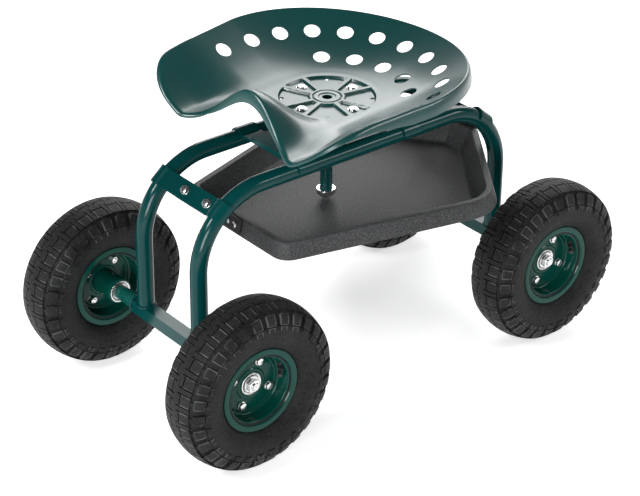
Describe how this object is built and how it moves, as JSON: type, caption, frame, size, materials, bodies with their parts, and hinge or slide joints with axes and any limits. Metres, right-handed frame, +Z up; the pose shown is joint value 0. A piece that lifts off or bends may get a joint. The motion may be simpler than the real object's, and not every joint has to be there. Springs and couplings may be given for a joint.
{
  "type": "rolling garden seat",
  "caption": "Low garden seat on pneumatic wheels: bent tube rails carry a turning, height-adjustable pressed tractor seat over a moulded tool tray.",
  "frame": {"origin": "on the ground, midway between the wheels", "axes": "+X to the rear along the rails, +Y to the rider's right, +Z up"},
  "size_m": [0.816, 0.441, 0.4745],
  "materials": {
    "green_paint": "gloss powder coat",
    "seat_paint": "gloss powder coat",
    "black_paint": "satin powder coat",
    "zinc": "bright zinc plate",
    "tyre": "matt rubber",
    "valve_rubber": "matt rubber",
    "tray_plastic": "fine grain"
  },
  "bodies": {
    "frame": {"left_rail": "green_paint", "right_rail": "green_paint", "front_axle_beam": "green_paint", "rear_axle_beam": "green_paint", "front_crossbar": "green_paint", "rear_crossbar": "green_paint", "crossbar_bolts": "zinc", "crossbar_nuts": "zinc", "front_tray_hanger": "black_paint", "rear_tray_hanger": "black_paint", "tray_screws": "zinc", "tray_nuts": "zinc", "tool_tray": "tray_plastic", "front_seat_strap": "green_paint", "rear_seat_strap": "green_paint", "seat_bearer": "green_paint", "screw_bush": "green_paint", "axle_washers": "zinc", "axle_nuts": "zinc", "front_left_axle": "green_paint", "front_right_axle": "green_paint", "rear_left_axle": "green_paint", "rear_right_axle": "green_paint"},
    "spindle": {"spindle": "green_paint", "stop_washer": "zinc", "stop_nut": "zinc"},
    "seat": {"seat_pan": "seat_paint", "seat_plate": "green_paint", "seat_screws": "zinc", "seat_nuts": "zinc"},
    "front_left_wheel": {"front_left_tyre": "tyre", "front_left_outer_rim": "green_paint", "front_left_inner_rim": "green_paint", "front_left_hub": "green_paint", "front_left_bearings": "zinc", "front_left_rim_bolts": "zinc", "front_left_valve": "valve_rubber"},
    "front_right_wheel": {"front_right_tyre": "tyre", "front_right_outer_rim": "green_paint", "front_right_inner_rim": "green_paint", "front_right_hub": "green_paint", "front_right_bearings": "zinc", "front_right_rim_bolts": "zinc", "front_right_valve": "valve_rubber"},
    "rear_left_wheel": {"rear_left_tyre": "tyre", "rear_left_outer_rim": "green_paint", "rear_left_inner_rim": "green_paint", "rear_left_hub": "green_paint", "rear_left_bearings": "zinc", "rear_left_rim_bolts": "zinc", "rear_left_valve": "valve_rubber"},
    "rear_right_wheel": {"rear_right_tyre": "tyre", "rear_right_outer_rim": "green_paint", "rear_right_inner_rim": "green_paint", "rear_right_hub": "green_paint", "rear_right_bearings": "zinc", "rear_right_rim_bolts": "zinc", "rear_right_valve": "valve_rubber"}
  },
  "joints": [
    {"name": "front_left_roll", "type": "hinge", "parent": "frame", "child": "front_left_wheel", "pos_m": [-0.281, -0.18, 0.127], "axis": [0, 1, 0], "continuous": true},
    {"name": "front_right_roll", "type": "hinge", "parent": "frame", "child": "front_right_wheel", "pos_m": [-0.281, 0.18, 0.127], "axis": [0, 1, 0], "continuous": true},
    {"name": "rear_left_roll", "type": "hinge", "parent": "frame", "child": "rear_left_wheel", "pos_m": [0.281, -0.18, 0.127], "axis": [0, 1, 0], "continuous": true},
    {"name": "rear_right_roll", "type": "hinge", "parent": "frame", "child": "rear_right_wheel", "pos_m": [0.281, 0.18, 0.127], "axis": [0, 1, 0], "continuous": true},
    {"name": "seat_height", "type": "slide", "parent": "frame", "child": "spindle", "axis": [0, 0, 1], "range_m": [0, 0.066]},
    {"name": "seat_swivel", "type": "hinge", "parent": "spindle", "child": "seat", "pos_m": [0, 0, 0.4], "axis": [0, 0, 1], "continuous": true}
  ]
}
